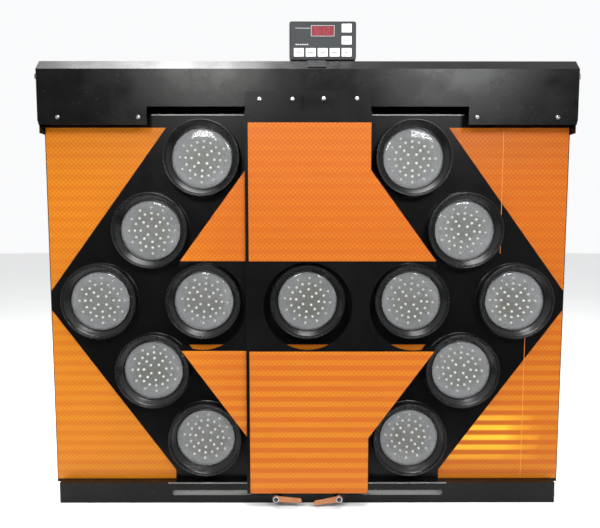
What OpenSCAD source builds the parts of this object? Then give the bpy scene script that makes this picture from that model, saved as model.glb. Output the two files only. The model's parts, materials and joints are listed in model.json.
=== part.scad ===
// Thirteen-lamp sliding-shutter arrow board with a controller on its top housing.
// Front faces -Y, +X is to the right, +Z is up. The origin is at the middle of the base, in line with
// the panel's front face. The two shutters are parked at the centre, which shows a double arrow.

/* [Board] */
// Width of the lamp panel
panel_w = 1218; // [1100:2:1600]
// Height of the lamp panel
panel_h = 878; // [860:2:1200]
// Height of the lamp panel's lower edge above the base
panel_bottom = 43; // [40:1:46]
// Thickness of the lamp panel
panel_t = 2.5; // [1.5:0.5:4]
// Height of the middle row of lamps above the base
shaft_row = 488; // [470:2:560]
// Thickness of folded sheet metal
sheet_t = 2; // [1.2:0.2:2.4]
// Depth of the box behind the panel
cover_depth = 68; // [62:1:110]

/* [Lamps] */
// Spacing of the lamps in the middle row
lamp_pitch = 244; // [220:2:270]
// Spacing of the lamp rows
row_pitch = 166; // [150:2:172]
// Radius of the clear lens
lens_r = 73.5; // [60:0.5:76]
// Radius of the bezel's flange
bezel_r = 90; // [84:0.5:96]
// How far the bezel stands out of the panel
bezel_h = 30; // [24:1:34]
// Depth of the lamp cup behind the panel
cup_depth = 50; // [40:1:54]

/* [Arrow graphic] */
// Half width of the arrow head's band, outside the lamps
band_out = 110; // [98:1:120]
// Half width of the arrow head's band, inside the lamps
band_in = 103; // [96:1:110]
// Half width of the arrow's shaft on the panel
shaft_half = 106; // [98:1:112]
// Thickness of the reflective sheeting
film_t = 0.4; // [0.3:0.1:0.6]

/* [Top housing] */
// Gap from the panel's front to the inside of the housing's face
housing_gap = 33; // [32:1:60]
// Height of the housing's face, along its ends
housing_face_h = 123; // [116:1:180]
// How far the housing's face hangs below the panel's upper edge, at its ends
housing_overlap = 28; // [24:1:40]
// Sloping corner along the housing's top front edge
housing_chamfer = 22; // [12:1:26]
// Half width of the cut-out in the housing's face
cutout_half = 364; // [340:1:420]
// Thickness of the housing's end plates
end_t = 2; // [1.5:0.5:4]

/* [Shutters] */
// Thickness of a shutter plate
shutter_t = 2; // [1.5:0.5:3]
// Distance from the panel's front to the back of the rear shutter
rear_shutter_gap = 42; // [40:1:46]
// Distance from the rear shutter's front to the back of the front shutter
shutter_space = 6; // [6:1:10]
// Distance from the centre to a shutter's outer straight edge
shutter_half = 143; // [138:1:150]
// How far a shutter reaches past the centre
shutter_lap = 142; // [112:1:146]
// Radius of the lamp openings in a shutter
opening_r = 102; // [96:0.5:103.5]
// How far the openings sit below the middle row of lamps
shutter_drop = 8; // [0:1:8]
// Height of the shutter's straight upper part above its openings' centre
shoulder = 310; // [280:1:340]
// Height of the tab above a shutter's upper edge
tab_h = 45; // [34:1:50]
// Half width of the shaft's band on a shutter
shutter_band = 104.5; // [103.5:0.5:110]

/* [Slide] */
// Radius of the slide rod
rod_r = 6; // [5:0.5:8]
// Radial running clearance of the bushes on the rod
rod_clearance = 0.06; // [0.02:0.01:0.1]
// Radius of the guide studs
stud_r = 4; // [3:0.5:5]
// Half height of the slots in the channel
slot_r = 6.5; // [5.2:0.1:7]
// Distance of a guide stud from the centre
stud_x = 74; // [64:1:90]
// Height of the guide studs above the base
stud_z = 25; // [23.5:0.5:27]

/* [Lock levers] */
// Length of a lever from its stud to its tip
lever_len = 55; // [35:1:58]
// Thickness of a lever
lever_t = 5; // [3:0.5:8]
// Droop of the left lever, in degrees
left_droop = 4; // [0:0.5:12]
// Droop of the right lever, in degrees
right_droop = 10; // [0:0.5:12]

/* [Bottom channel] */
// Width of the bottom channel
channel_w = 1190; // [1040:2:1210]
// Height of the bottom channel
channel_h = 50; // [49:1:56]
// Distance from the panel's front to the channel's front face
channel_front = 24; // [16:1:26]

/* [Controller] */
// Width of the controller
controller_w = 152; // [140:1:190]
// Height of the controller
controller_h = 85; // [82:1:120]
// Depth of the controller
controller_d = 42; // [30:1:60]
// Sideways place of the controller's middle
controller_x = 34; // [-200:1:200]
// Lean of the controller, in degrees
controller_lean = 2; // [0:1:8]
// Side of a button, across
button_w = 22.6; // [16:0.2:24]
// Side of a button, upwards
button_h = 18.8; // [14:0.2:19.6]
// Spacing of the buttons, across
button_pitch = 27.2; // [26:0.1:28]
// Gap between a button and its hole
button_gap = 0.4; // [0.2:0.1:0.6]
// Width of the controller's bracket
bracket_w = 42; // [30:1:60]

/* [Rear brackets] */
// Sideways spacing of the rear mounting holes
mount_x = 800; // [500:10:1000]
// Upward spacing of the rear mounting holes
mount_z = 600; // [400:10:700]
// Radius of the rear mounting holes
mount_r = 5.5; // [3:0.5:7]
// Depth of the rear brackets
bracket_d = 20; // [14:1:40]

/* [Hidden] */
$fn = 64;
slope = lamp_pitch / 2 / row_pitch;
lean = atan(slope);
tip_lamp = 2 * lamp_pitch;
panel_top = panel_bottom + panel_h;
half_w = panel_w / 2;
opening_z = shaft_row - shutter_drop;

// Lamp places as [x, z], from the upper left round to the lower right
LAMPS = [
  [-lamp_pitch, shaft_row + 2 * row_pitch],
  [-1.5 * lamp_pitch, shaft_row + row_pitch],
  [-tip_lamp, shaft_row],
  [-1.5 * lamp_pitch, shaft_row - row_pitch],
  [-lamp_pitch, shaft_row - 2 * row_pitch],
  [-lamp_pitch, shaft_row],
  [0, shaft_row],
  [lamp_pitch, shaft_row],
  [lamp_pitch, shaft_row + 2 * row_pitch],
  [1.5 * lamp_pitch, shaft_row + row_pitch],
  [tip_lamp, shaft_row],
  [1.5 * lamp_pitch, shaft_row - row_pitch],
  [lamp_pitch, shaft_row - 2 * row_pitch]
];

// Lamp details, measured forward from the panel's front face
pocket_r = lens_r + 0.5;
lip_r = lens_r - 4.5;
lens_back = 4.5;
lens_edge = 9;
gasket_t = 0.5;
dome_rise = 4;
cup_wall = 2;
hole_r = pocket_r + 1;
board_r = lens_r - 6;
board_t = 1.6;

// Housing heights
housing_low = panel_top - housing_overlap;
housing_front_top = housing_low + housing_face_h;
roof = housing_front_top + housing_chamfer;
cutout_top = panel_top + 12;
face_y = -(housing_gap + sheet_t);
end_x = half_w + end_t;
mitre = sheet_t * tan(22.5);

// Planes of the shutters
rear_back = -rear_shutter_gap;
rear_front = rear_back - shutter_t;
front_back = rear_front - shutter_space;
front_front = front_back - shutter_t;
shutter_top = panel_top - 1;
shutter_low = 35;
film_top = shutter_top - 25;
film_margin = 1.2;
film_inner_margin = 7.5;
tab_in = -10;
tab_out = shutter_half - 2;

// Slide rod and hangers
hanger_t = 3;
hanger_in = 26;
hanger_out = 117;
web_z = panel_top + 3;
upright_front = -28;
rod_y = -14;
bush_half = 11;
rod_z = roof - 36;
rod_head = 8;
tab_screw_in = 35;
tab_screw_out = 109;
tab_screw_z = shutter_top + 27;
tab_screw_r = 3;

// Guide studs, foot brackets and levers
fit_gap = 0.05;
foot_half = 14;
foot_low = 14;
foot_high = 78;
collar_r = 6.5;
lever_back = front_front - 3;
lever_front = lever_back - lever_t;
boss_r = 8;
tip_r = 5.5;
end_gap = 0.2;
head_t = 2.6;
nut_t = 6;
nut_r = 7.5;
travel = lamp_pitch;

// Bottom channel
channel_y = -channel_front;
channel_half = channel_w / 2;
cover_half = channel_half - 5;
cover_t = 1.5;
cover_top = panel_top - 16;
back_y = cover_depth + sheet_t;
gland_x = cover_half - 280;
gland_z = 90;
gland_r = 8;
driver_z = 250;
driver_w = 170;
driver_h = 110;
mount_mid = shaft_row + 12;
rail_half = 30;

// Controller, in its own frame: x across, y back from its face, z up from its lower edge
bracket_t = 2;
bracket_x = controller_x - 14;
case_wall = 2.5;
case_r = 5;
plate_t = 2.5;
rim = 3.5;
controller_z = roof + bracket_t + 0.8;
controller_y = -8;
pivot_y = controller_d + 9;
pivot_up = 45;
board_back = plate_t + 4.5 + board_t;
post_r = 3;
knuckle_r = 7;
knuckle_half = 11;
pin_r = 3;
key_t = 4;
key_proud = 1.4;
display_w = 52;
display_h = 23;
display_up = controller_h - 21;
lower_keys = 15.6;
upper_keys = controller_h - 15.2;
middle_keys = (lower_keys + upper_keys) / 2;
KEYS = [
  for (i = [-2:2]) [i * button_pitch, lower_keys],
  [2 * button_pitch, middle_keys],
  [2 * button_pitch, upper_keys]
];

// ---- Helpers ----

// Turns a shape drawn in x and y, and raised in z, to stand up facing the front
module facing_front() {
  rotate([90, 0, 0]) children();
}

// A plate with an outline in x and z, from y = back forward by t
module plate(back, t) {
  translate([0, back, 0]) facing_front() linear_extrude(t) children();
}

// A round bar along Y, from y = back forward by len
module bar_y(x, z, back, len, r) {
  translate([x, back, z]) facing_front() cylinder(h = len, r = r);
}

module at_lamps() {
  for (p = LAMPS) translate([p[0], 0, p[1]]) facing_front() children();
}

module rounded_rect(w, h, r) {
  square([w - 2 * r, h], center = true);
  square([w, h - 2 * r], center = true);
  for (x = [-1, 1], y = [-1, 1])
    translate([x * (w / 2 - r), y * (h / 2 - r)]) circle(r);
}

// Repeats a right-hand shape on the left
module on_side(side) {
  if (side > 0) children();
  else mirror([1, 0, 0]) children();
}

// ---- Top housing ----

module housing_section() {
  polygon([
    [face_y, housing_low], [face_y, housing_front_top], [face_y + housing_chamfer, roof],
    [back_y, roof], [back_y, cover_top - 30], [cover_depth, cover_top - 30],
    [cover_depth, roof - sheet_t], [face_y + housing_chamfer + mitre, roof - sheet_t],
    [-housing_gap, housing_front_top - mitre], [-housing_gap, housing_low]
  ]);
}

// Turns a section drawn in y and z into a bar along X, from x0 to x1
module bar_x(x0, x1) {
  translate([x0, 0, 0]) rotate([90, 0, 90]) linear_extrude(x1 - x0) children();
}

housing_screw_x = [-(half_w - 44), -(cutout_half + 19), cutout_half + 19, half_w - 44];
housing_screw_z = housing_low + 16;

module top_housing() {
  color([0.07, 0.07, 0.07]) difference() {
    bar_x(-half_w, half_w) housing_section();
    translate([-cutout_half, face_y - 1, housing_low - 1])
      cube([2 * cutout_half, sheet_t + 2, cutout_top - housing_low + 1]);
    for (x = housing_screw_x) bar_y(x, housing_screw_z, -housing_gap + 1, sheet_t + 2, 2.6);
  }
}

// One end plate, with its lower front corner cut off
module end_plate(side) {
  on_side(side) difference() {
    bar_x(half_w, end_x) polygon([
      [face_y, housing_low + 9], [face_y, housing_front_top], [face_y + housing_chamfer, roof],
      [back_y, roof], [back_y, cover_top - 30], [face_y + 9, cover_top - 30],
      [face_y + 9, housing_low]
    ]);
    translate([half_w - 1, rod_y, rod_z]) rotate([0, 90, 0]) cylinder(h = end_t + 2, r = rod_r + fit_gap);
  }
}

module housing_end_left() color([0.08, 0.08, 0.08]) end_plate(-1);

module housing_end_right() color([0.08, 0.08, 0.08]) end_plate(1);

module housing_standoffs() {
  color([0.6, 0.6, 0.62]) for (x = housing_screw_x) difference() {
    bar_y(x, housing_screw_z, 0, housing_gap, 6);
    bar_y(x, housing_screw_z, 1, housing_gap + 2, 2.6);
  }
}

module housing_screws() {
  color([0.75, 0.75, 0.78]) for (x = housing_screw_x) {
    bar_y(x, housing_screw_z, face_y, 2.4, 5);
    bar_y(x, housing_screw_z, panel_t, panel_t - face_y, 2.5);
  }
}

// ---- Lamp panel ----

module lamp_panel() {
  color([0.06, 0.06, 0.06]) difference() {
    union() {
      translate([-half_w, 0, panel_bottom]) cube([panel_w, panel_t, panel_h]);
      for (x = [-half_w, half_w - panel_t])
        translate([x, 0, channel_h + 4]) cube([panel_t, 18, housing_low - channel_h - 8]);
    }
    at_lamps() translate([0, 0, -panel_t - 1]) cylinder(h = panel_t + 2, r = hole_r);
    for (x = housing_screw_x) bar_y(x, housing_screw_z, panel_t + 1, panel_t + 2, 2.6);
  }
}

// Distance of an arrow head's edge from the centre, at a height above the middle row
function head_edge(half_band, up) =
  tip_lamp + half_band / cos(lean) * (half_band == band_out ? 1 : -1) - slope * abs(up);

// Outer sheets: one above and one below each arrow head
module outer_sheet(up) {
  edge = half_w - 2;
  tip_up = (head_edge(band_out, 0) - edge) / slope;
  far_up = up > 0 ? housing_low - 2 - shaft_row : shaft_row - channel_h - 1;
  turn_up = min(far_up, 2.5 * row_pitch);
  polygon([
    for (p = [[edge, tip_up], [edge, far_up], [head_edge(band_out, turn_up), far_up],
              [head_edge(band_out, turn_up), turn_up]])
      [p[0], up * p[1]]
  ]);
}

// Inner sheets, behind the shutters
module inner_sheet(up) {
  far_up = up > 0 ? shutter_top - 5 - shaft_row : shaft_row - channel_h - 1;
  turn_up = min(far_up, shoulder);
  polygon([
    for (p = [[-1, shaft_half], [1, shaft_half], [1, turn_up], [1, far_up], [-1, far_up], [-1, turn_up]])
      [p[0] * head_edge(band_in, p[1] == far_up ? turn_up : p[1]), up * p[1]]
  ]);
}

module panel_sheeting() {
  color([0.95, 0.45, 0.08]) for (up = [-1, 1]) plate(0, film_t) translate([0, shaft_row]) {
    for (side = [-1, 1]) scale([side, 1]) outer_sheet(up);
    inner_sheet(up);
  }
}

module back_cover() {
  color([0.1, 0.1, 0.1]) difference() {
    translate([-cover_half, panel_t, sheet_t])
      cube([2 * cover_half, cover_depth - panel_t, cover_top - sheet_t]);
    translate([-cover_half + cover_t, panel_t - 1, sheet_t + cover_t])
      cube([2 * (cover_half - cover_t), cover_depth - panel_t - cover_t + 1,
            cover_top - sheet_t - 2 * cover_t]);
    // Way in for the controller's wires
    translate([bracket_x, 34, cover_top - 5]) cylinder(h = 10, r = 9);
    // Cable inlet
    bar_y(gland_x, gland_z, cover_depth + 1, cover_t + 2, gland_r + fit_gap);
  }
}

module channel_section() {
  polygon([
    [channel_y, 0], [channel_y, channel_h], [0, channel_h], [0, channel_h - sheet_t],
    [channel_y + sheet_t, channel_h - sheet_t], [channel_y + sheet_t, sheet_t],
    [cover_depth, sheet_t], [cover_depth, channel_h], [back_y, channel_h], [back_y, 0]
  ]);
}

module bottom_channel() {
  color([0.06, 0.06, 0.06]) difference() {
    union() {
      bar_x(-channel_half, channel_half) channel_section();
      for (x = [-channel_half, channel_half - sheet_t])
        translate([x, channel_y + 1, 1]) cube([sheet_t, back_y - channel_y - 2, channel_h - 2]);
    }
    translate([-half_w, -0.1, panel_bottom - 0.2]) cube([panel_w, panel_t + 0.3, channel_h]);
    for (side = [-1, 1], x = [stud_x - 2, stud_x + travel + 1])
      bar_y(side * x, stud_z, channel_y + sheet_t + 1, sheet_t + 2, slot_r);
    for (side = [-1, 1]) on_side(side)
      translate([stud_x - 2, channel_y - 1, stud_z - slot_r]) cube([travel + 3, sheet_t + 2, 2 * slot_r]);
  }
}

// ---- Shutters ----

// Outline of the right-hand shutter, without its openings
module shutter_outline() {
  point_x = shutter_half + slope * (shoulder - shutter_band);
  polygon([
    [-shutter_lap, shutter_low], [-shutter_lap, shutter_top], [tab_in, shutter_top],
    [tab_in, shutter_top + tab_h], [tab_out, shutter_top + tab_h], [tab_out, shutter_top],
    [shutter_half, shutter_top], [shutter_half, opening_z + shoulder],
    [point_x, opening_z + shutter_band], [point_x, opening_z - shutter_band],
    [shutter_half, opening_z - shoulder], [shutter_half, shutter_low]
  ]);
}

// A shutter with one closed opening and one that runs out of its point
module shutter_plate(side, back) {
  on_side(side) difference() {
    plate(back, shutter_t) shutter_outline();
    for (x = [0, lamp_pitch]) bar_y(x, opening_z, back + 1, shutter_t + 2, opening_r);
    for (x = [tab_screw_in, tab_screw_out])
      bar_y(x, tab_screw_z, back + 1, shutter_t + 2, tab_screw_r + fit_gap);
  }
}

// Upper and lower sheets on a shutter
module shutter_film(side, back) {
  inner = -shutter_lap + film_inner_margin;
  outer = shutter_half - film_margin;
  point_x = outer + slope * (shoulder - shutter_band);
  on_side(side) plate(back, film_t) {
    polygon([
      [inner, film_top], [outer, film_top], [outer, opening_z + shoulder],
      [point_x, opening_z + shutter_band], [inner, opening_z + shutter_band]
    ]);
    polygon([
      [inner, shutter_low + film_margin], [outer, shutter_low + film_margin],
      [outer, opening_z - shoulder], [point_x, opening_z - shutter_band],
      [inner, opening_z - shutter_band]
    ]);
  }
}

// A Z-shaped hanger from the tab, under the housing's face and up to the bushes
module hanger(side, back) {
  leg_back = back + hanger_t;
  on_side(side) difference() {
    bar_x(hanger_in, hanger_out) polygon([
      [back, web_z], [back, shutter_top + tab_h - 2], [leg_back, shutter_top + tab_h - 2],
      [leg_back, web_z + hanger_t], [upright_front, web_z + hanger_t],
      [upright_front, rod_z + bush_half - 2], [upright_front + hanger_t, rod_z + bush_half - 2],
      [upright_front + hanger_t, web_z]
    ]);
    for (x = [tab_screw_in, tab_screw_out])
      bar_y(x, tab_screw_z, leg_back + 1, hanger_t + 2, tab_screw_r + fit_gap);
  }
}

module bushes(side) {
  on_side(side) for (x = [hanger_in, hanger_out - 24]) difference() {
    translate([x, upright_front + hanger_t, rod_z - bush_half])
      cube([24, 2 * (rod_y - upright_front - hanger_t), 2 * bush_half]);
    translate([x - 1, rod_y, rod_z]) rotate([0, 90, 0]) cylinder(h = 26, r = rod_r + rod_clearance);
  }
}

module tab_screws(side, front) {
  on_side(side) for (x = [tab_screw_in, tab_screw_out]) {
    bar_y(x, tab_screw_z, front, 2.6, 5.4);
    bar_y(x, tab_screw_z, front + shutter_t + hanger_t, shutter_t + hanger_t, tab_screw_r);
  }
}

// A foot behind the shutter's lower edge, which carries the guide stud
module foot(side, back) {
  on_side(side) difference() {
    translate([stud_x - foot_half, back, foot_low]) cube([2 * foot_half, hanger_t, foot_high - foot_low]);
    bar_y(stud_x, stud_z, back + hanger_t + 1, hanger_t + 2, stud_r + fit_gap);
  }
}

// Stud with its head, its collar behind the lever, and its nut behind the channel's face
module stud(side, foot_back) {
  nut_back = channel_y + sheet_t + nut_t + 2;
  head_back = lever_front - end_gap;
  on_side(side) {
    bar_y(stud_x, stud_z, nut_back, nut_back - head_back, stud_r);
    bar_y(stud_x, stud_z, head_back, head_t, boss_r - 0.5);
    bar_y(stud_x, stud_z, foot_back, foot_back - lever_back - end_gap, collar_r);
    translate([stud_x, nut_back - 1, stud_z]) facing_front() cylinder(h = nut_t, r = nut_r, $fn = 6);
  }
}

module lever(side, droop) {
  on_side(side) translate([stud_x, lever_back, stud_z]) rotate([0, -droop, 0]) difference() {
    facing_front() linear_extrude(lever_t) {
      circle(boss_r);
      polygon([
        [0, boss_r - 1], [-lever_len, tip_r - 0.3], [-lever_len, 0.3 - tip_r], [0, 1 - boss_r]
      ]);
      translate([-lever_len, 0]) circle(tip_r);
    }
    bar_y(0, 0, 1, lever_t + 2, stud_r + fit_gap);
  }
}

module left_shutter() color([0.07, 0.07, 0.07]) shutter_plate(-1, rear_back);

module left_sheeting() color([0.95, 0.45, 0.08]) shutter_film(-1, rear_front);

module left_hanger() color([0.1, 0.1, 0.1]) hanger(-1, rear_back);

module left_bushes() color([0.9, 0.9, 0.86]) bushes(-1);

module left_screws() color([0.75, 0.75, 0.78]) tab_screws(-1, rear_front);

module left_foot() color([0.1, 0.1, 0.1]) foot(-1, rear_back);

module left_stud() color([0.6, 0.6, 0.62]) stud(-1, rear_back);

module left_lever() color([0.85, 0.5, 0.25]) lever(-1, left_droop);

module right_shutter() color([0.07, 0.07, 0.07]) shutter_plate(1, front_back);

module right_sheeting() color([0.95, 0.45, 0.08]) shutter_film(1, front_front);

module right_hanger() color([0.1, 0.1, 0.1]) hanger(1, front_back);

module right_bushes() color([0.9, 0.9, 0.86]) bushes(1);

module right_screws() color([0.75, 0.75, 0.78]) tab_screws(1, front_front);

module right_foot() color([0.1, 0.1, 0.1]) foot(1, front_back);

module right_stud() color([0.6, 0.6, 0.62]) stud(1, front_back);

module right_lever() color([0.85, 0.5, 0.25]) lever(1, right_droop);

module slide_rod() {
  color([0.7, 0.7, 0.72]) {
    translate([-end_x - 1, rod_y, rod_z]) rotate([0, 90, 0]) cylinder(h = 2 * end_x + 2, r = rod_r);
    for (x = [-end_x - rod_head, end_x])
      translate([x, rod_y, rod_z]) rotate([0, 90, 0]) cylinder(h = rod_head, r = rod_r + 4, $fn = 6);
  }
}

// ---- Lamps ----

module bezel(i) {
  color([0.05, 0.05, 0.05]) translate([LAMPS[i - 1][0], 0, LAMPS[i - 1][1]]) facing_front()
    rotate_extrude() polygon([
      [pocket_r, 0], [bezel_r, 0], [bezel_r, 2.5], [bezel_r - 2, 4.5], [bezel_r - 2, bezel_h],
      [bezel_r - 5, bezel_h], [bezel_r - 6, bezel_h - 1.5], [lip_r + 1.5, lens_edge + 2.5],
      [lip_r, lens_edge + 2.5], [lip_r, lens_edge + gasket_t], [pocket_r, lens_edge + gasket_t]
    ]);
}

module lamp_lenses() {
  dome_r = (pow(lip_r - 1, 2) + dome_rise * dome_rise) / (2 * dome_rise);
  sweep = asin((lip_r - 1) / dome_r);
  color([0.85, 0.9, 0.9, 0.4]) at_lamps() rotate_extrude() polygon(concat(
    [[0, lens_back + 1.5], [lens_r - 3, lens_back], [lens_r, lens_back], [lens_r, lens_edge]],
    [for (k = [0:6]) [dome_r * sin(sweep * (1 - k / 6)),
      lens_edge + dome_rise - dome_r * (1 - cos(sweep * (1 - k / 6)))]]
  ));
}

module lamp_gaskets() {
  color([0.2, 0.2, 0.2]) at_lamps() rotate_extrude()
    translate([lip_r + 0.5, lens_edge]) square([lens_r - lip_r - 0.5, gasket_t]);
}

module lamp_cups() {
  color([0.12, 0.12, 0.12]) at_lamps() rotate_extrude() polygon([
    [0, -cup_depth], [42, -cup_depth], [lens_r, -18], [lens_r, lens_back],
    [lens_r - cup_wall, lens_back], [lens_r - cup_wall, -4], [lens_r - 9, -4], [lens_r - 9, -6],
    [lens_r - cup_wall, -8], [lens_r - cup_wall, -17], [41, -cup_depth + cup_wall], [0, -cup_depth + cup_wall]
  ]);
}

module led_boards() {
  color([0.8, 0.83, 0.75]) at_lamps() translate([0, 0, -4]) cylinder(h = board_t, r = board_r);
}

module lamp_driver() {
  color([0.55, 0.57, 0.6]) translate([0, cover_depth - cover_t, driver_z]) facing_front()
    linear_extrude(34) rounded_rect(driver_w, driver_h, 4);
}

// Sleeved wires along the back cover's inner wall, from the driver to the lamps and the controller
module wiring_harness() {
  sleeve_r = 4;
  y = cover_depth - cover_t - sleeve_r;
  driver_top = driver_z + driver_h / 2;
  columns = [
    [-1.5 * lamp_pitch, row_pitch], [1.5 * lamp_pitch, row_pitch],
    [-lamp_pitch, 2 * row_pitch], [lamp_pitch, 2 * row_pitch]
  ];
  color([0.15, 0.15, 0.16]) {
    translate([-tip_lamp, y, shaft_row]) rotate([0, 90, 0]) cylinder(h = 2 * tip_lamp, r = sleeve_r);
    for (c = columns) translate([c[0], y, shaft_row - c[1]]) cylinder(h = 2 * c[1], r = sleeve_r);
    translate([0, y, driver_top]) cylinder(h = shaft_row - driver_top, r = sleeve_r);
    translate([bracket_x, y, shaft_row]) cylinder(h = cover_top - 20 - shaft_row, r = sleeve_r);
  }
}

module rear_brackets() {
  half = mount_z / 2 + 50;
  web = 3;
  color([0.3, 0.3, 0.32]) for (side = [-1, 1]) difference() {
    translate([side * mount_x / 2 - rail_half, cover_depth, mount_mid - half])
      cube([2 * rail_half, bracket_d, 2 * half]);
    translate([side * mount_x / 2 - rail_half + web, cover_depth - 1, mount_mid - half - 1])
      cube([2 * (rail_half - web), bracket_d - web + 1, 2 * half + 2]);
    for (up = [-1, 1])
      bar_y(side * mount_x / 2, mount_mid + up * mount_z / 2, cover_depth + bracket_d + 1, web + 2, mount_r);
  }
}

module cable_gland() {
  color([0.08, 0.08, 0.08]) translate([gland_x, cover_depth, gland_z]) rotate([-90, 0, 0]) difference() {
    union() {
      translate([0, 0, -8]) cylinder(h = 9, r = gland_r);
      cylinder(h = 5, r = 13, $fn = 6);
      translate([0, 0, 5]) cylinder(h = 9, r = 10);
      translate([0, 0, 14]) cylinder(h = 4, r1 = 10, r2 = 7);
    }
    translate([0, 0, -9]) cylinder(h = 30, r = 4.5);
  }
}

// ---- Controller ----

// Moves the controller's own frame to its place and leans it back about its pivot
module at_controller() {
  translate([controller_x, controller_y, controller_z])
    translate([0, pivot_y, pivot_up]) rotate([-controller_lean, 0, 0]) translate([0, -pivot_y, -pivot_up])
      children();
}

module controller_case() {
  knuckle_x = bracket_x - controller_x;
  inside = controller_w - 2 * case_wall;
  color([0.12, 0.13, 0.14]) at_controller() difference() {
    union() {
      translate([0, controller_d, controller_h / 2]) facing_front()
        linear_extrude(controller_d) rounded_rect(controller_w, controller_h, case_r);
      translate([knuckle_x - knuckle_half, pivot_y, pivot_up]) rotate([0, 90, 0])
        cylinder(h = 2 * knuckle_half, r = knuckle_r);
      translate([knuckle_x - knuckle_half, controller_d - 1, pivot_up - knuckle_r])
        cube([2 * knuckle_half, pivot_y - controller_d + 1, 2 * knuckle_r]);
    }
    translate([0, plate_t, controller_h / 2]) facing_front() linear_extrude(plate_t + 1)
      rounded_rect(controller_w - 2 * rim, controller_h - 2 * rim, case_r - 2);
    translate([-inside / 2 + 3, plate_t, case_wall + 3])
      cube([inside - 6, controller_d - plate_t - case_wall, controller_h - 2 * case_wall - 6]);
    translate([knuckle_x - knuckle_half - 1, pivot_y, pivot_up]) rotate([0, 90, 0])
      cylinder(h = 2 * knuckle_half + 2, r = pin_r + fit_gap);
  }
  // Posts for the circuit board
  color([0.12, 0.13, 0.14]) at_controller()
    for (x = [-1, 1], z = [16, controller_h - 16])
      bar_y(x * (controller_w / 2 - 16), z, controller_d - 1, controller_d - 1 - board_back, post_r);
}

module controller_plate() {
  color([0.33, 0.35, 0.36]) at_controller() difference() {
    translate([0, plate_t, controller_h / 2]) facing_front() linear_extrude(plate_t)
      rounded_rect(controller_w - 2 * rim - 0.2, controller_h - 2 * rim - 0.2, case_r - 2);
    translate([-display_w / 2, -1, display_up - display_h / 2]) cube([display_w, plate_t + 2, display_h]);
    for (k = KEYS)
      translate([k[0] - button_w / 2 - button_gap, -1, k[1] - button_h / 2 - button_gap])
        cube([button_w + 2 * button_gap, plate_t + 2, button_h + 2 * button_gap]);
  }
}

module controller_display() {
  color([0.75, 0.1, 0.12]) at_controller()
    translate([-display_w / 2 + 0.1, 0.3, display_up - display_h / 2 + 0.1])
      cube([display_w - 0.2, plate_t + 1.6, display_h - 0.2]);
}

module controller_board() {
  color([0.1, 0.35, 0.18]) at_controller()
    translate([-controller_w / 2 + 10, board_back - board_t, 10])
      cube([controller_w - 20, board_t, controller_h - 20]);
}

module button(i) {
  color([0.9, 0.91, 0.92]) at_controller()
    translate([KEYS[i - 1][0], key_t - key_proud, KEYS[i - 1][1]]) facing_front()
      linear_extrude(key_t) rounded_rect(button_w, button_h, 1.2);
}

module controller_bracket() {
  ear_y = controller_y + pivot_y;
  ear_z = controller_z + pivot_up;
  color([0.5, 0.52, 0.54]) translate([bracket_x, 0, 0]) difference() {
    union() {
      translate([-bracket_w / 2, 0, 0]) bar_x(0, bracket_w) polygon([
        [face_y + 3, housing_front_top + 3], [face_y + housing_chamfer, roof], [ear_y + 16, roof],
        [ear_y + 16, roof + bracket_t], [face_y + housing_chamfer - 0.4 * bracket_t, roof + bracket_t],
        [face_y + 3 - 0.7 * bracket_t, housing_front_top + 3 + 0.7 * bracket_t]
      ]);
      for (x = [-knuckle_half - 3.6, knuckle_half + 0.6])
        translate([x, 0, 0]) bar_x(0, 3) union() {
          translate([ear_y - 4, roof + 1]) square([18, ear_z - roof - 1]);
          translate([ear_y + 2, ear_z]) circle(9);
        }
    }
    translate([-knuckle_half - 10, ear_y, ear_z]) rotate([0, 90, 0])
      cylinder(h = 2 * knuckle_half + 20, r = pin_r + fit_gap);
  }
}

module controller_pin() {
  len = 2 * (knuckle_half + 3.6);
  color([0.7, 0.7, 0.72]) translate([bracket_x - len / 2, controller_y + pivot_y, controller_z + pivot_up])
    rotate([0, 90, 0]) {
      cylinder(h = len, r = pin_r);
      translate([0, 0, -2.5]) cylinder(h = 2.5, r = pin_r + 2.5);
      translate([0, 0, len]) cylinder(h = 2.5, r = pin_r + 2.5);
    }
}

// ---- Output ----

top_housing();
housing_end_left();
housing_end_right();
housing_standoffs();
housing_screws();
lamp_panel();
panel_sheeting();
back_cover();
bottom_channel();
left_shutter();
left_sheeting();
left_hanger();
left_bushes();
left_screws();
left_foot();
left_stud();
left_lever();
right_shutter();
right_sheeting();
right_hanger();
right_bushes();
right_screws();
right_foot();
right_stud();
right_lever();
slide_rod();
lamp_lenses();
lamp_gaskets();
lamp_cups();
led_boards();
lamp_driver();
wiring_harness();
rear_brackets();
cable_gland();
controller_bracket();
controller_pin();
controller_case();
controller_plate();
controller_display();
controller_board();
for (i = [1:13]) bezel(i);
for (i = [1:7]) button(i);
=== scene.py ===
"""Thirteen-lamp sliding-shutter arrow board: looks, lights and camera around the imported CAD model.

Everything is in metres, in the model's own frame: the front faces -Y, +X is to the right, +Z is up.
"""
import json
import math
import random

import bmesh
import bpy
from mathutils import Matrix, Vector


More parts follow.
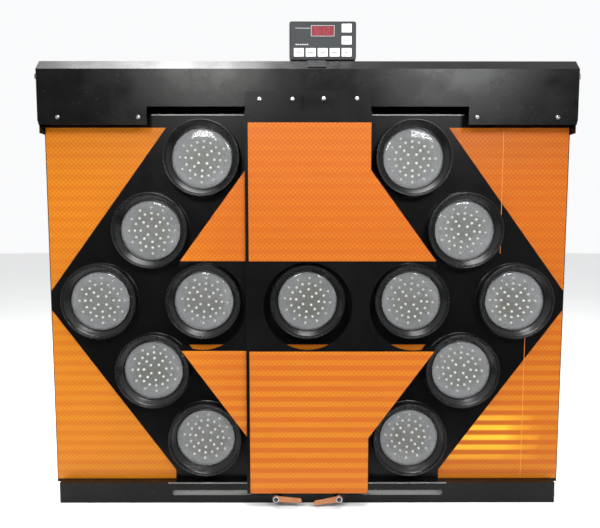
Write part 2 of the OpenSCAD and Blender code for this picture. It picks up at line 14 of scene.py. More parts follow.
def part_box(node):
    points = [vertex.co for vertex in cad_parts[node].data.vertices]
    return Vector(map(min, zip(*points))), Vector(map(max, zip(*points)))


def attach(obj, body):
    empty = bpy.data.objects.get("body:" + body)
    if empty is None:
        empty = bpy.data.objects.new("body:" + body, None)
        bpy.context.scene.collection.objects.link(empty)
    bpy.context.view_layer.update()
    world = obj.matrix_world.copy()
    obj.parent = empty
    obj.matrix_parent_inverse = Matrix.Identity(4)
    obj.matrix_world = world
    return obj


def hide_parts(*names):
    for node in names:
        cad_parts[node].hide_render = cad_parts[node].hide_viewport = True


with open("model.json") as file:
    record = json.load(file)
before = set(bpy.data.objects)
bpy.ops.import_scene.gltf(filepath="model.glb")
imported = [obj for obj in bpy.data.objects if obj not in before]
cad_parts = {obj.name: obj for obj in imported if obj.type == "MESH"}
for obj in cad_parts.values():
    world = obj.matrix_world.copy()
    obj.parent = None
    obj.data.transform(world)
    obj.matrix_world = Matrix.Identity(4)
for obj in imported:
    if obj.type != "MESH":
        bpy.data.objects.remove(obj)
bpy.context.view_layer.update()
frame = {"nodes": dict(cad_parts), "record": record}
NODES = frame["nodes"]
RECORD = frame["record"]
BODIES = RECORD["behaviour"]["bodies"]
BODY_OF = {name: body for body, names in BODIES.items() for name in names}
SLOT_OF = {row["node"]: row["material_slot"] for row in RECORD["subparts"]}
MM = 0.001
WELD = 1e-6
LAMP_COUNT = 13
KEY_COUNT = 7
SIDES = (-1, 1)
CONTROLLER_LEAN = 2.0  # degrees that the controller's face leans back


# ---- Shader building blocks ----

def feed(tree, target, inputs):
    """Sets a node's inputs. A value is a number, a colour or another node's output."""
    for key, value in inputs.items():
        if isinstance(value, bpy.types.NodeSocket):
            tree.links.new(value, target.inputs[key])
        else:
            target.inputs[key].default_value = value


def node(tree, kind, inputs=None, **settings):
    """Adds a shader node with these inputs and settings."""
    made = tree.nodes.new(kind)
    for key, value in settings.items():
        setattr(made, key, value)
    feed(tree, made, inputs or {})
    return made


def material(name):
    """A new material, its node tree and its Principled shader."""
    made = bpy.data.materials.new(name)
    made.use_nodes = True
    return made, made.node_tree, made.node_tree.nodes["Principled BSDF"]


def maths(tree, operation, first, second=0.0, clamp=False):
    made = node(tree, "ShaderNodeMath", {0: first, 1: second}, operation=operation, use_clamp=clamp)
    return made.outputs[0]


def plus(tree, first, second, clamp=False):
    return maths(tree, "ADD", first, second, clamp)


def times(tree, first, *others):
    for other in others:
        first = maths(tree, "MULTIPLY", first, other)
    return first


def wave(tree, along, pitch):
    """A sine wave from -1 to 1, of this pitch."""
    return maths(tree, "SINE", times(tree, along, 2 * math.pi / pitch))


def place(tree, which="Object"):
    """The surface point in the object's own coordinates, or the world's direction."""
    return node(tree, "ShaderNodeTexCoord").outputs[which]


def noise(tree, scale, detail=3.0, rough=0.55, vector=None):
    inputs = {"Vector": vector or place(tree), "Scale": scale, "Detail": detail, "Roughness": rough}
    return node(tree, "ShaderNodeTexNoise", inputs).outputs["Fac"]


def ramp(tree, value, low, high, out_low=0.0, out_high=1.0):
    """Maps low..high to out_low..out_high, and holds the ends."""
    inputs = {"Value": value, "From Min": low, "From Max": high, "To Min": out_low, "To Max": out_high}
    return node(tree, "ShaderNodeMapRange", inputs).outputs["Result"]


def blend_colours(tree, factor, first, second):
    made = node(tree, "ShaderNodeMix", {"Factor": factor}, data_type="RGBA")
    for socket, colour in ((6, first), (7, second)):
        is_output = isinstance(colour, bpy.types.NodeSocket)
        feed(tree, made, {socket: colour if is_output else (*colour, 1)})
    return made.outputs[2]


def bump(tree, shader, height, distance, strength=1.0):
    made = node(tree, "ShaderNodeBump", {"Height": height, "Distance": distance, "Strength": strength})
    tree.links.new(made.outputs["Normal"], shader.inputs["Normal"])


def shade(colour, factor):
    return tuple(min(1.0, c * factor) for c in colour)


# ---- Materials ----

def paint(name, colour, rough, grain=0.0006, speck=0.12, specular=0.5, coat=0.0):
    """Powder coat or moulded plastic: slight mottling, an orange-peel skin and faint handling marks."""
    made, tree, shader = material(name)
    smear = 0.08
    mottle = blend_colours(tree, noise(tree, 9, 4), shade(colour, 1 - speck), shade(colour, 1 + speck))
    marks = ramp(tree, noise(tree, 26, 5, 0.65), 0.35, 0.7, rough - smear / 2, rough + smear)
    feed(tree, shader, {"Base Color": mottle, "Roughness": marks, "Specular IOR Level": specular,
                        "Coat Weight": coat, "Coat Roughness": 0.15})
    bump(tree, shader, noise(tree, 1 / (grain * 3), 2), grain * 0.12, 0.6)
    return made


def powder_black(name, level, rough, specular=0.17):
    """Semi-gloss black coat with dust that settles in soft patches and small pale scuffs."""
    made, tree, shader = material(name)
    dusty = level * 2.1
    dust = ramp(tree, noise(tree, 5, 5, 0.6), 0.45, 0.8)
    base = blend_colours(tree, dust, (level, level, level * 1.05), (dusty, dusty, dusty))
    scuff = ramp(tree, noise(tree, 210, 2, 0.4), 0.735, 0.76, 0.0, 0.5)
    wear = ramp(tree, noise(tree, 14, 5, 0.6), 0.3, 0.75, rough - 0.06, rough + 0.1)
    feed(tree, shader, {"Base Color": blend_colours(tree, scuff, base, (0.05, 0.05, 0.05)),
                        "Roughness": wear, "Specular IOR Level": specular})
    bump(tree, shader, noise(tree, 700, 2), 0.00006, 0.5)
    return made


def prismatic_sheeting(name):
    """Orange retroreflective sheeting: a fine diagonal hatch and sealed bands across, under a clear face."""
    made, tree, shader = material(name)
    point = node(tree, "ShaderNodeSeparateXYZ", {"Vector": place(tree)})
    x, z = point.outputs["X"], point.outputs["Z"]
    hatch_pitch, band_pitch = 0.0105, 0.0245
    rising = wave(tree, plus(tree, x, z), hatch_pitch)
    falling = wave(tree, maths(tree, "SUBTRACT", x, z), hatch_pitch)
    hatch = ramp(tree, plus(tree, rising, falling), -1.2, 1.2)
    bands = ramp(tree, wave(tree, z, band_pitch), -0.45, 0.45)

    # The bands show most low down and at the left, and the hatch most high up
    low = ramp(tree, z, 0.62, 0.22)
    low = plus(tree, low, ramp(tree, x, -0.22, -0.40, 0.0, 0.55), clamp=True)
    band_show = times(tree, bands, plus(tree, times(tree, low, 0.65), 0.30))
    hatch_show = times(tree, hatch, plus(tree, times(tree, low, -0.40), 0.75))
    warm = times(tree, ramp(tree, noise(tree, 2.2, 2), 0.35, 0.65), 0.35)
    left = ramp(tree, x, -0.18, -0.34, 0.0, 0.45)
    colour = blend_colours(tree, band_show, (0.395, 0.090, 0.003), (0.468, 0.162, 0.004))
    colour = blend_colours(tree, warm, colour, (0.40, 0.100, 0.004))
    colour = blend_colours(tree, left, colour, (0.53, 0.19, 0.003))
    colour = blend_colours(tree, hatch_show, colour, (0.30, 0.060, 0.002))

    # Painted highlight: bands that catch the light as yellow streaks, low on the right
    ragged_x = plus(tree, x, times(tree, noise(tree, 7), 0.16))
    highlight_x = times(tree, ramp(tree, x, 0.24, 0.33), ramp(tree, ragged_x, 0.64, 0.56))
    highlight_z = times(tree, ramp(tree, z, 0.085, 0.14), ramp(tree, z, 0.235, 0.18))
    colour = blend_colours(tree, times(tree, highlight_x, highlight_z, bands, 0.8), colour, (0.80, 0.44, 0.022))

    feed(tree, shader, {"Base Color": colour, "Roughness": 0.45, "Specular IOR Level": 0.18,
                        "Coat Weight": 0.12, "Coat Roughness": 0.2})
    relief = plus(tree, times(tree, hatch, 0.35), times(tree, bands, 0.65))
    relief = plus(tree, relief, times(tree, noise(tree, 5, 3), 6.0))
    bump(tree, shader, relief, 0.00012, 0.7)
    return made


def clear_lens(name):
    """A clear moulding, glossy and faintly milky, with more haze towards its rim and in uneven patches."""
    made, tree, shader = material(name)
    rim = node(tree, "ShaderNodeAttribute", attribute_name="rim").outputs["Fac"]
    patches = ramp(tree, noise(tree, 14, 3), 0.35, 0.7, -0.02, 0.12)
    haze = plus(tree, ramp(tree, rim, 0.45, 1.0, 0.09, 0.40), patches, clamp=True)
    milk = blend_colours(tree, noise(tree, 8, 2), (0.26, 0.27, 0.285), (0.32, 0.33, 0.34))
    feed(tree, shader, {"Base Color": milk, "Alpha": haze, "Roughness": 0.07, "IOR": 1.49})
    bump(tree, shader, noise(tree, 35, 2), 0.0002, 0.25)
    return made


def circuit_board(name, colour, track):
    """Solder-masked board with faint tracks under the mask."""
    made, tree, shader = material(name)
    cells = node(tree, "ShaderNodeTexVoronoi", {"Vector": place(tree), "Scale": 160.0, "Randomness": 1.0},
                 feature="DISTANCE_TO_EDGE").outputs["Distance"]
    tracks = ramp(tree, cells, 0.05, 0.09, 1.0, 0.0)
    mask = blend_colours(tree, times(tree, tracks, 0.55), colour, track)
    patches = ramp(tree, noise(tree, 40, 4), 0.35, 0.7, 0, 0.5)
    feed(tree, shader, {"Base Color": blend_colours(tree, patches, mask, shade(colour, 0.78)),
                        "Roughness": ramp(tree, noise(tree, 60), 0.3, 0.7, 0.35, 0.5)})
    bump(tree, shader, tracks, 0.00008, 0.5)
    return made


def bright_metal(name, colour, rough):
    """Plated steel with a fine lay and dull patches."""
    made, tree, shader = material(name)
    brushed = node(tree, "ShaderNodeMapping", {"Vector": place(tree), "Scale": (1, 1, 12)}).outputs[0]
    lay = noise(tree, 260, 3, 0.6, brushed)
    dull = ramp(tree, noise(tree, 30, 4), 0.35, 0.7)
    feed(tree, shader, {"Base Color": blend_colours(tree, dull, shade(colour, 0.82), colour),
                        "Metallic": 1.0,
                        "Roughness": ramp(tree, lay, 0.3, 0.7, rough - 0.07, rough + 0.12)})
    bump(tree, shader, lay, 0.00004, 0.5)
    return made


def worn_enamel(name, colour, bare):
    """Metallic enamel with bare metal where fingers rub it."""
    made, tree, shader = material(name)
    worn = times(tree, ramp(tree, noise(tree, 120, 5, 0.7), 0.56, 0.64), 0.5)
    mottle = blend_colours(tree, noise(tree, 60, 3), shade(colour, 0.8), shade(colour, 1.2))
    feed(tree, shader, {"Base Color": blend_colours(tree, worn, mottle, bare), "Metallic": 0.55,
                        "Roughness": ramp(tree, noise(tree, 90), 0.3, 0.7, 0.3, 0.46)})
    bump(tree, shader, noise(tree, 500), 0.00005, 0.6)
    return made


def lit_window(name, colour):
    """Tinted display window with a faint glow behind it."""
    made, tree, shader = material(name)
    tint = blend_colours(tree, noise(tree, 90, 3), shade(colour, 0.75), colour)
    feed(tree, shader, {"Base Color": tint, "Emission Color": tint, "Emission Strength": 0.12,
                        "Roughness": 0.2, "Coat Weight": 0.2})
    bump(tree, shader, noise(tree, 300), 0.00003, 0.3)
    return made


def make_materials():
    """One material for each slot of the record, and a few for what only the looks need."""
    looks = {}

    def add(recipe, name, *values, **settings):
        looks[name] = recipe(name, *values, **settings)

    # Housing, panel and sheeting
    add(powder_black, "board_black", 0.0022, rough=0.30, specular=0.13)
    add(powder_black, "housing_black", 0.0028, rough=0.25, specular=0.16)
    add(powder_black, "cover_black", 0.008, rough=0.40)
    add(prismatic_sheeting, "sheeting_orange")
    add(paint, "seam_line", (0.56, 0.17, 0.02), rough=0.4, grain=0.0004, speck=0.05)

    # Lamps
    add(paint, "bezel_black", (0.004, 0.004, 0.0045), rough=0.27, grain=0.0005, speck=0.15, specular=0.36)
    add(clear_lens, "lens_clear")
    add(paint, "lamp_cup", (0.03, 0.03, 0.03), rough=0.5)
    add(paint, "gasket_rubber", (0.012, 0.012, 0.012), rough=0.7, grain=0.0004)
    add(circuit_board, "led_board", (0.088, 0.090, 0.074), track=(0.125, 0.128, 0.105))
    add(paint, "led_epoxy", (0.86, 0.88, 0.78), rough=0.12, grain=0.0004, speck=0.06, coat=0.8)
    add(paint, "led_ring", (0.16, 0.17, 0.15), rough=0.4)

    # Metal and running parts
    add(bright_metal, "zinc_steel", (0.40, 0.40, 0.42), rough=0.24)
    # Bright metal for the painted highlights along the panel's top edge and the channel's lip
    add(bright_metal, "bare_edge", (0.62, 0.62, 0.61), rough=0.48)
    # Dark metal, used for the painted shade in the studs' holes
    add(bright_metal, "black_oxide", (0.06, 0.055, 0.05), rough=0.35)
    add(worn_enamel, "lever_tan", (0.33, 0.135, 0.055), bare=(0.58, 0.38, 0.24))
    add(paint, "nylon_white", (0.72, 0.71, 0.66), rough=0.5, speck=0.05)
    add(paint, "strip_grey", (0.33, 0.34, 0.33), rough=0.6, grain=0.0005, speck=0.06)

    # Electrics
    add(paint, "harness_black", (0.02, 0.02, 0.022), rough=0.6, grain=0.0009)
    add(paint, "driver_grey", (0.30, 0.32, 0.35), rough=0.45)
    add(paint, "gland_black", (0.015, 0.015, 0.015), rough=0.5)

    # Controller
    add(paint, "bracket_grey", (0.007, 0.0075, 0.008), rough=0.42, specular=0.12)
    add(paint, "case_grey", (0.012, 0.013, 0.014), rough=0.5, speck=0.1, specular=0.3)
    add(paint, "plate_grey", (0.020, 0.0235, 0.025), rough=0.45, grain=0.0004, speck=0.08, specular=0.22)
    add(lit_window, "display_red", (0.18, 0.026, 0.036))
    add(lit_window, "digit_red", (0.34, 0.060, 0.075))
    add(paint, "key_white", (0.68, 0.69, 0.70), rough=0.4, grain=0.0005, speck=0.03)
    add(circuit_board, "board_green", (0.02, 0.14, 0.05), track=(0.05, 0.24, 0.09))
    add(paint, "print_white", (0.42, 0.42, 0.42), rough=0.5, grain=0.0004, speck=0.03)
    add(paint, "print_dark", (0.05, 0.05, 0.055), rough=0.5, grain=0.0004, speck=0.03)
    return looks


# ---- Mesh helpers ----

def mesh_object(name, bm, look):
    """Turns a bmesh into an object of the scene, with one material."""
    mesh = bpy.data.meshes.new(name)
    bm.to_mesh(mesh)
    bm.free()
    mesh.materials.append(look)
    made = bpy.data.objects.new(name, mesh)
    bpy.context.scene.collection.objects.link(made)
    return made


def to_object(name, bm, look, body, smooth=True, sharp=32.0):
    """Makes a bmesh into a piece that rides on a body. Edges over sharp degrees stay hard."""
    bmesh.ops.recalc_face_normals(bm, faces=bm.faces)
    piece = mesh_object(name, bm, LOOKS[look])
    if smooth:
        piece.data.shade_smooth()
        piece.data.set_sharp_from_angle(angle=math.radians(sharp))
    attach(piece, body)
    return piece


def finished(name, bevel):
    """A CAD node's own shape with its folded or moulded edges softened. It stands for the node."""
    bm = bmesh.new()
    bm.from_mesh(NODES[name].data)
    bmesh.ops.remove_doubles(bm, verts=bm.verts, dist=2e-6)
    bmesh.ops.dissolve_limit(bm, angle_limit=math.radians(0.4), verts=bm.verts, edges=bm.edges)
    piece = to_object(name + "_finish", bm, SLOT_OF[name], BODY_OF[name])
    cut = piece.modifiers.new("edges", "BEVEL")
    cut.width = bevel
    cut.segments = 2
    cut.limit_method = "ANGLE"
    cut.angle_limit = math.radians(34)
    cut.harden_normals = True
    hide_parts(name)


def ring_points(radius, height, count):
    """A circle of points about the Y axis, height metres in front of the origin."""
    return [Vector((radius * math.cos(t), -height, radius * math.sin(t)))
            for t in (2 * math.pi * k / count for k in range(count))]


def turn_profile(bm, profile, centre, count):
    """Turns (radius, forward) points about an axis along Y through centre; a zero radius is a tip."""
    rings = []
    for radius, forward in profile:
        if radius < 1e-7:
            rings.append([bm.verts.new(centre + Vector((0, -forward, 0)))])
        else:
            rings.append([bm.verts.new(centre + p) for p in ring_points(radius, forward, count)])
    for first, second in zip(rings, rings[1:]):
        for k in range(count):
            a, b = first[k % len(first)], first[(k + 1) % len(first)]
            c, d = second[(k + 1) % len(second)], second[k % len(second)]
            corners = [v for i, v in enumerate((a, b, c, d)) if v not in (a, b, c, d)[:i]]
            if len(corners) > 2:
                bm.faces.new(corners)


def arc(centre_r, centre_y, radius, start, end, steps):
    """Profile points along an arc, with its angles in degrees."""
    angles = [math.radians(start + (end - start) * k / steps) for k in range(steps + 1)]
    return [(centre_r + radius * math.cos(a), centre_y + radius * math.sin(a)) for a in angles]


def block(bm, low, high):
    """A box between two corners."""
    size = Vector(high) - Vector(low)
    middle = (Vector(high) + Vector(low)) / 2
    bmesh.ops.create_cube(bm, size=1, matrix=Matrix.Translation(middle) @ Matrix.Diagonal((*size, 1)))


def mirrored_spans(inner, outer):
    """The same stretch of X on the left and on the right, each as (low, high)."""
    return [sorted((side * inner, side * outer)) for side in SIDES]


def pan_screw(bm, centre, radius, height, facing=-1):
    """A pan head with a cross recess, on a face that looks along Y (facing -1 is the front)."""
    rings, spokes = 14, 48
    arm = radius * 0.15
    reach = radius * 0.56
    made = []
    for i in range(rings + 1):
        r = radius * i / rings
        row = []
        for k in range(1 if i == 0 else spokes):
            t = 2 * math.pi * k / spokes
            across, up = r * math.cos(t), r * math.sin(t)
            rise = height * (1 - (r / radius) ** 4) ** 0.5 if i < rings else 0.0
            in_cross = r < reach and min(abs(across), abs(up)) < arm
            rise -= height * 0.6 * (1 - r / reach * 0.5) if in_cross else 0.0
            row.append(bm.verts.new(centre + Vector((across, facing * rise, up))))
        made.append(row)
    for first, second in zip(made, made[1:]):
        for k in range(spokes):
            a, b = first[k % len(first)], first[(k + 1) % len(first)]
            c, d = second[(k + 1) % spokes], second[k % spokes]
            bm.faces.new([a, b, c, d] if a is not b else [a, c, d])


# ---- Camera, lights and floor ----

def add_camera():
    """The photograph's viewpoint: a little above the middle row of lamps, looking slightly down."""
    dip, turn = 5.26, -0.13
    data = bpy.data.cameras.new("camera")
    data.sensor_width = 36
    data.lens = 36.86
    data.shift_y = 0.027
    camera = bpy.data.objects.new("camera", data)
    camera.location = (-0.021, -1.45, 0.670)
    camera.rotation_euler = (math.radians(90 - dip), 0, math.radians(turn))
    bpy.context.scene.collection.objects.link(camera)
    bpy.context.scene.camera = camera


def add_light(name, position, target, size, power, colour=(1, 1, 1)):
    data = bpy.data.lights.new(name, "AREA")
    data.shape = "RECTANGLE"
    data.size, data.size_y = size
    data.energy = power
    data.color = colour
    light = bpy.data.objects.new(name, data)
    light.location = position
    aim = Vector(target) - Vector(position)
    light.rotation_euler = aim.to_track_quat("-Z", "Y").to_euler()
    bpy.context.scene.collection.objects.link(light)


def add_lights():
    """Two soft boxes in front that the housing mirrors, two overhead, and one behind."""
    add_light("left_box", (-0.49, -1.9, 1.64), (-0.1, 0, 0.5), (0.45, 0.5), 25, (1.0, 0.99, 0.97))
    add_light("right_box", (0.80, -1.9, 1.64), (0.1, 0, 0.5), (0.50, 0.5), 27, (0.98, 0.99, 1.0))
    add_light("top", (-0.25, -0.20, 2.6), (-0.1, 0.0, 0.5), (2.1, 0.9), 90)
    add_light("edge", (-0.50, 0.42, 2.6), (-0.30, 0, 1.1), (0.5, 0.5), 12)
    add_light("back", (-0.8, 2.4, 1.7), (0, 0, 0.6), (1.6, 1.2), 30)


def add_world():
    """A pale backdrop all round. What it lights and what mirrors it get darker towards -Y."""
    pale, dark = 0.97, 0.05
    world = bpy.data.worlds.new("studio")
    world.use_nodes = True
    tree = world.node_tree
    direction = node(tree, "ShaderNodeSeparateXYZ", {"Vector": place(tree, "Generated")})
    towards_front = times(tree, direction.outputs["Y"], -1.0)
    level = ramp(tree, towards_front, 0.40, 0.90, pale, dark)
    seen = node(tree, "ShaderNodeLightPath").outputs["Is Camera Ray"]
    strength = maths(tree, "MAXIMUM", level, times(tree, seen, pale))
    feed(tree, tree.nodes["Background"], {"Strength": strength, "Color": (0.985, 0.99, 1.0, 1)})
    bpy.context.scene.world = world
    bpy.context.scene.view_settings.view_transform = "Standard"


def add_floor():
    bm = bmesh.new()
    bmesh.ops.create_circle(bm, cap_ends=True, segments=96, radius=14)
    look = paint("floor_pale", (0.90, 0.90, 0.90), rough=0.75, grain=0.0008, speck=0.02)
    mesh_object("floor", bm, look)


def add_flag():
    """A black studio flag on the floor in front, seen only in the glossy blacks."""
    bm = bmesh.new()
    block(bm, (-2.4, -5.0, 0.003), (2.4, -0.26, 0.006))
    flag = mesh_object("flag", bm, LOOKS["gasket_rubber"])
    for ray in ("camera", "diffuse", "shadow", "transmission", "volume_scatter"):
        setattr(flag, "visible_" + ray, False)


# ---- Lamps ----

def lamp_centres():
    """Each lamp's middle, from its bezel's box, in the plane of the panel's front face."""
    centres = []
    for i in range(1, LAMP_COUNT + 1):
        low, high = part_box(f"lamp_bezel_{i}")
        centres.append(Vector(((low.x + high.x) / 2, 0, (low.z + high.z) / 2)))
    return centres


def make_bezels(centres):
    """Glossy moulded bezels: flange, outer wall, rounded rim, two-step inner cone and rounded lip."""
    flange = [(74.0, 0.0), (90.0, 0.0)] + arc(89.2, 1.7, 0.8, 0, 90, 3) + [(88.6, 2.9)]
    wall = [(88.0, 4.5), (87.7, 27.8)]
    rim = arc(86.2, 28.5, 1.5, 0, 90, 4) + arc(85.4, 28.5, 1.5, 90, 170, 4)
    cone = [(83.4, 26.6), (80.2, 22.4), (79.3, 21.9), (72.6, 13.6), (71.8, 13.0)]
    lip = arc(70.3, 12.3, 1.2, 40, 180, 6) + [(69.0, 9.6), (74.0, 9.6), (74.0, 0.0)]
    profile = [(r * MM, y * MM) for r, y in flange + wall + rim + cone + lip]
    for i, centre in enumerate(centres, 1):
        bm = bmesh.new()
        turn_profile(bm, profile, centre, 96)
        bmesh.ops.remove_doubles(bm, verts=bm.verts, dist=WELD)
        piece = to_object(f"bezel_{i}", bm, "bezel_black", BODY_OF[f"lamp_bezel_{i}"], sharp=40)
        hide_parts(f"lamp_bezel_{i}")


def make_lenses(centres):
    """Thin domed mouldings with a flat rim, which stand for the solid lens discs."""
    rim, dome_r, inner_r = 0.0733, 0.0685, 0.0675
    shell, back, edge, rise = 0.0016, 0.0046, 0.0089, 0.0040
    angles = [math.radians(a) for a in (0, 12, 24, 36, 48, 60, 72, 82, 90)]
    dome = [(dome_r * math.cos(a), edge + rise * math.sin(a)) for a in angles]
    dome[-1] = (0.0, dome[-1][1])
    inner = [(r * 0.985, y - shell) for r, y in reversed(dome)]
    profile = inner + [(inner_r, back), (rim, back), (rim, edge)] + dome
    bm = bmesh.new()
    for centre in centres:
        turn_profile(bm, profile, centre, 80)
    piece = to_object("lenses", bm, "lens_clear", BODY_OF["lamp_lenses"], sharp=30)
    rim_share = piece.data.attributes.new("rim", "FLOAT", "POINT")
    for v, value in zip(piece.data.vertices, rim_share.data):
        value.value = min((v.co - c).xz.length for c in centres) / rim
    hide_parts("lamp_lenses")


def led_places(turn):
    """The forty LEDs of a lamp: rings of 4, 8, 16 and 12, as (across, up) from its middle."""
    places = []
    for count, radius, offset in ((4, 0.0138, 45), (8, 0.0269, 0), (16, 0.0405, 0), (12, 0.0540, 0)):
        for k in range(count):
            t = math.radians(turn + offset + 360 * k / count)
            places.append((radius * math.cos(t), radius * math.sin(t)))
    return places


def make_leds(centres):
    """LED domes with their flanges, and the print ring round each."""
    rng = random.Random(13)
    front = -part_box("led_boards")[0].y
    domes, rings = bmesh.new(), bmesh.new()
    dome_r, body_h, flange_r, flange_h = 0.0025, 0.0030, 0.0029, 0.0008
    dome = [(flange_r, 0.0), (flange_r, flange_h), (dome_r, 0.0009), (dome_r, body_h)]
    dome += [(dome_r * math.cos(math.radians(a)), body_h + dome_r * math.sin(math.radians(a)))
             for a in (25, 50, 72)] + [(0.0, body_h + dome_r)]
    ring = [(0.0030, 0.00005), (0.0041, 0.00005)]
    for centre in centres:
        turn = rng.uniform(-7, 4)
        for across, up in led_places(turn):
            foot = centre + Vector((across, -front, up))
            turn_profile(domes, dome, foot, 12)
            turn_profile(rings, ring, foot, 16)
    body = BODY_OF["led_boards"]
    to_object("led_domes", domes, "led_epoxy", body)
    to_object("led_print_rings", rings, "led_ring", body)


# ---- Fasteners ----

def front_clusters(name):
    """The points on a node's front face, as one list for each of its separate screw heads."""
    head_gap = 0.02
    low_y = min(v.co.y for v in NODES[name].data.vertices)
    front = [v.co.copy() for v in NODES[name].data.vertices if v.co.y < low_y + 0.0005]
    front.sort(key=lambda p: p.x)
    heads = [[front[0]]]
    for before, point in zip(front, front[1:]):
        if point.x - before.x > head_gap:
            heads.append([])
        heads[-1].append(point)
    return low_y, heads


def make_screws():
    """Pan-head screws on the housing and the shutters' tabs, with plain shanks behind."""
    shank_r, shank = 0.0026, 0.0046
    for name, radius, height in (("housing_screws", 0.0050, 0.0023),
                                 ("left_screws", 0.0054, 0.0026), ("right_screws", 0.0054, 0.0026)):
        low_y, heads = front_clusters(name)
        bm = bmesh.new()
        for points in heads:
            x = (min(p.x for p in points) + max(p.x for p in points)) / 2
            z = (min(p.z for p in points) + max(p.z for p in points)) / 2
            centre = Vector((x, low_y + height, z))
            pan_screw(bm, centre, radius, height)
            turn_profile(bm, [(radius, 0), (shank_r, 0), (shank_r, -shank), (0, -shank)], centre, 48)
        bmesh.ops.remove_doubles(bm, verts=bm.verts, dist=WELD)
        piece = to_object(name + "_heads", bm, "zinc_steel", BODY_OF[name], sharp=28)
        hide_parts(name)


def make_back_screws():
    """Screws up the back cover's two sides and along its lower edge."""
    low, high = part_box("back_cover")
    side_x = high.x - 0.016
    rows = [low.z + 0.075 + k * (high.z - low.z - 0.13) / 6 for k in range(7)]
    places = [(side * side_x, z) for side in SIDES for z in rows]
    places += [(x / 8 * side_x, rows[0]) for x in range(-6, 7, 2) if x]
    bm = bmesh.new()
    for x, z in places:
        pan_screw(bm, Vector((x, high.y, z)), 0.0042, 0.0018, facing=1)
    piece = to_object("cover_screws", bm, "zinc_steel", BODY_OF["back_cover"], sharp=28)


def make_stud_hole_shades():
    """Painted shade: dark discs in the studs' grey heads, standing for the shade inside their holes."""
    profile = [(0.0052, -0.0002), (0.0052, 0.0003), (0.0044, 0.0008), (0, 0.0009)]
    for side in ("left", "right"):
        low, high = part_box(f"{side}_stud")
        centre = Vector(((low.x + high.x) / 2, low.y, (low.z + high.z) / 2))
        bm = bmesh.new()
        turn_profile(bm, profile, centre, 32)
        piece = to_object(f"{side}_stud_hole_shade", bm, "black_oxide", BODY_OF[f"{side}_stud"])


# ---- Strips, painted edge highlights and sheeting joints ----

def make_slot_strips():
    """Grey strips inside the bottom channel, seen through its two slots."""
    low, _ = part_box("bottom_channel")
    front, back = low.y + 0.0105, low.y + 0.0125
    bm = bmesh.new()
    for left, right in mirrored_spans(0.062, 0.340):
        block(bm, (left, front, 0.014), (right, back, 0.034))
    bmesh.ops.bevel(bm, geom=bm.edges, offset=0.0004, segments=2, affect="EDGES")
    to_object("slot_strips", bm, "strip_grey", BODY_OF["bottom_channel"])


def make_edge_highlight_strips():
    """Painted highlights: bright metal strips along two folded edges, the panel's top and the channel's
    front lip, over the stretches where these edges catch the light.
    """
    panel_low, panel_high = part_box("lamp_panel")
    channel_low, channel_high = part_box("bottom_channel")
    bm = bmesh.new()
    for top_span, lip_span in zip(mirrored_spans(0.146, 0.363), mirrored_spans(0.120, 0.335)):
        block(bm, (top_span[0], panel_low.y - 0.0012, panel_high.z - 0.0018),
              (top_span[1], panel_low.y + 0.0012, panel_high.z + 0.0006))
        block(bm, (lip_span[0], channel_low.y - 0.0006, channel_high.z - 0.0024),
              (lip_span[1], channel_low.y + 0.0020, channel_high.z + 0.0004))
    bmesh.ops.bevel(bm, geom=bm.edges, offset=0.0010, segments=3, affect="EDGES")
    to_object("edge_highlight_strips", bm, "bare_edge", BODY_OF["lamp_panel"])


def make_seams():
    """Where two widths of sheeting meet on the panel: two fine pale lines at the right."""
    low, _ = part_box("panel_sheeting")
    half_w, proud, sunk = 0.0006, 0.00012, 0.0002
    bm = bmesh.new()
    for x, bottom, top in ((0.455, 0.60, 0.885), (0.520, 0.053, 0.41)):
        block(bm, (x - half_w, low.y - proud, bottom), (x + half_w, low.y + sunk, top))
    piece = to_object("sheeting_seams", bm, "seam_line", BODY_OF["panel_sheeting"], smooth=False)


# ---- Controller ----

def controller_axes():
    """Where the controller's face is: its middle, and unit vectors across, up and out of it."""
    low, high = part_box("controller_plate")
    lean = math.radians(CONTROLLER_LEAN)
    across = Vector((1, 0, 0))
    up = Vector((0, math.sin(lean), math.cos(lean)))
    out = Vector((0, -math.cos(lean), math.sin(lean)))
    half_plate = 0.00125
    return (low + high) / 2 + out * half_plate, across, up, out


def face_bars(name, bars, look, body, origin, depth=0.0003):
    """Thin raised bars on a leaning face: (across, up, width, height) about an origin."""
    _, across, up, out = controller_axes()
    bm = bmesh.new()
    for a, u, width, height in bars:
        for v in bmesh.ops.create_cube(bm, size=1)["verts"]:
            x, y, z = v.co
            v.co = origin + across * (a + x * width) + up * (u + y * height) + out * (z * depth)
    to_object(name, bm, look, body, smooth=False)


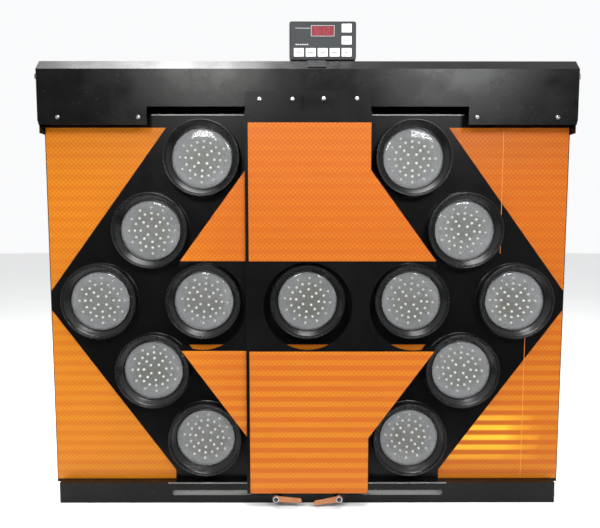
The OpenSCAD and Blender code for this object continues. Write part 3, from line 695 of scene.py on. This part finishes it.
def make_display():
    """Pale window border and three seven-segment figures."""
    low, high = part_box("controller_display")
    middle, across, up, out = controller_axes()
    centre = Vector(((low.x + high.x) / 2, low.y, (low.z + high.z) / 2))
    front = middle + up * ((centre - middle).dot(up)) + across * ((centre - middle).dot(across))
    body = BODY_OF["controller_plate"]

    half_w, half_h, line = 0.0262, 0.0117, 0.0008
    border = [(0, side * half_h, 2 * half_w, line) for side in SIDES]
    border += [(side * half_w, 0, line, 2 * half_h) for side in SIDES]
    face_bars("display_border", border, "print_white", body, front + out * 0.0001)

    long, thin, side_x, side_y, top_y, pitch = 0.0056, 0.0011, 0.0033, 0.0033, 0.0066, 0.0125
    segments = {
        "a": (0, top_y, long, thin), "g": (0, 0, long, thin), "d": (0, -top_y, long, thin),
        "f": (-side_x, side_y, thin, long), "b": (side_x, side_y, thin, long),
        "e": (-side_x, -side_y, thin, long), "c": (side_x, -side_y, thin, long),
    }
    bars = []
    for step, lit in ((-1, "abcdef"), (0, "bc"), (1, "abged")):
        bars += [(step * pitch + segments[s][0], *segments[s][1:]) for s in lit]
    face_bars("display_figures", bars, "digit_red", body, front - out * 0.0002)


def make_face_print():
    """Plain dashes on the keys, and a pale rule and six dashes on the plate, in place of any lettering."""
    middle, _, _, out = controller_axes()
    dash_w, dash_h, pitch, to_key_top = 0.0026, 0.0028, 0.0034, 0.00202
    for i, count in enumerate((3, 4, 3, 4, 3, 4), 1):
        key = f"button_{i}"
        low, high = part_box(key)
        top = (low + high) / 2 + out * to_key_top
        bars = [((k - (count - 1) / 2) * pitch, 0, dash_w, dash_h) for k in range(count)]
        face_bars(f"key_mark_{i}", bars, "print_dark", BODY_OF[key], top, 0.00012)
    rules = [(-0.046, 0.0275, 0.034, 0.0010)]
    rules += [(-0.060 + 0.0050 * k, -0.0090, 0.0034, 0.0026) for k in range(6)]
    face_bars("plate_rules", rules, "print_white", BODY_OF["controller_plate"], middle, 0.0002)


# ---- Assembly ----

LOOKS = make_materials()
add_camera()
add_lights()
add_world()
add_floor()
add_flag()

# How much each piece's edges are rounded, in millimetres
SOFT_EDGES = {
    "top_housing": 0.8, "housing_end_left": 0.6, "housing_end_right": 0.6, "lamp_panel": 0.4,
    "back_cover": 0.8, "bottom_channel": 0.7, "rear_brackets": 0.8, "controller_bracket": 0.5,
    "controller_case": 1.0, "controller_plate": 0.25, "slide_rod": 0.6,
}
for side in ("left", "right"):
    for part, width in (("shutter", 0.9), ("hanger", 0.5), ("foot", 0.5), ("lever", 0.9),
                        ("bushes", 0.5), ("stud", 0.4)):
        SOFT_EDGES[f"{side}_{part}"] = width
for i in range(1, KEY_COUNT + 1):
    SOFT_EDGES[f"button_{i}"] = 0.35
for name, width in SOFT_EDGES.items():
    finished(name, width * MM)

centres = lamp_centres()
make_bezels(centres)
make_lenses(centres)
make_leds(centres)
make_screws()
make_back_screws()
make_stud_hole_shades()
make_slot_strips()
make_edge_highlight_strips()
make_display()
make_face_print()
make_seams()

for name, part in NODES.items():
    part.data.materials.clear()
    part.data.materials.append(LOOKS[SLOT_OF[name]])
